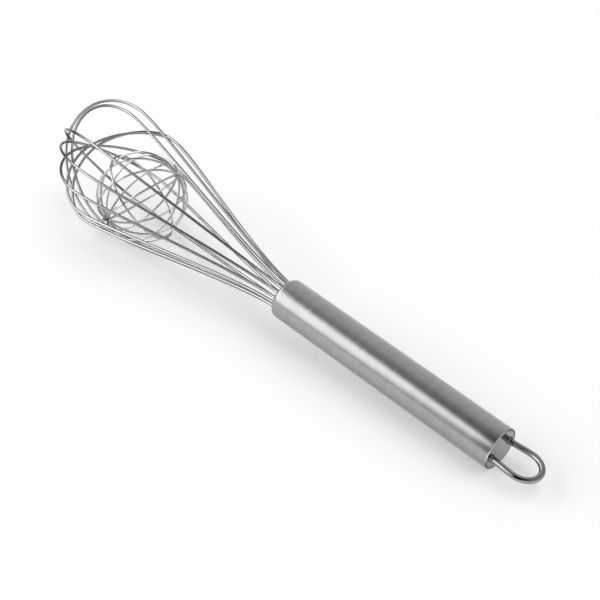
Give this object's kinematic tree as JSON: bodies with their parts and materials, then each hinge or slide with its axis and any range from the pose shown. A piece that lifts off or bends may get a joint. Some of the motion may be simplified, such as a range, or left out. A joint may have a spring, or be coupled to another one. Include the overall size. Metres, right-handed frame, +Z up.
{
  "type": "aerator whisk",
  "caption": "All-metal balloon whisk with a loose wire ball trapped inside its wire loops, a round tube handle and a wire hanging loop at the rear end.",
  "frame": {"origin": "centre of the bounding box on the floor; the whisk lies on its side on the rear rim of its handle and its lowest balloon wires", "axes": "+X runs from the tip of the balloon to the hanging loop, +Z is up, +Y is to the left when looking along +X"},
  "size_m": [0.3072, 0.067, 0.0623],
  "materials": {
    "satin_steel": "satin stainless steel with a fine lengthwise grain",
    "polished_wire": "drawn and polished stainless steel wire",
    "sealed_core": "dull dark sealing resin, hidden inside the handle"
  },
  "bodies": {
    "whisk": {"handle_tube": "satin_steel", "end_cap": "satin_steel", "mouth_plug": "sealed_core", "hanging_loop": "polished_wire", "balloon_wire_1": "polished_wire", "balloon_wire_2": "polished_wire", "balloon_wire_3": "polished_wire", "balloon_wire_4": "polished_wire", "balloon_wire_5": "polished_wire", "balloon_wire_6": "polished_wire", "balloon_wire_7": "polished_wire"},
    "ball": {"ball_rib_1": "polished_wire", "ball_rib_2": "polished_wire", "ball_rib_3": "polished_wire", "ball_rib_4": "polished_wire", "ball_rib_5": "polished_wire", "ball_rib_6": "polished_wire", "ball_rib_7": "polished_wire", "ball_rib_8": "polished_wire", "ball_rib_9": "polished_wire", "ball_rib_10": "polished_wire", "ball_rib_11": "polished_wire", "ball_rib_12": "polished_wire", "ball_equator_ring": "polished_wire", "ball_knot_1": "polished_wire", "ball_knot_2": "polished_wire"}
  },
  "joints": [
    {"name": "ball_slide", "type": "slide", "parent": "whisk", "child": "ball", "axis": [-0.9981, 0, 0.0622], "range_m": [0, 0.018]}
  ]
}
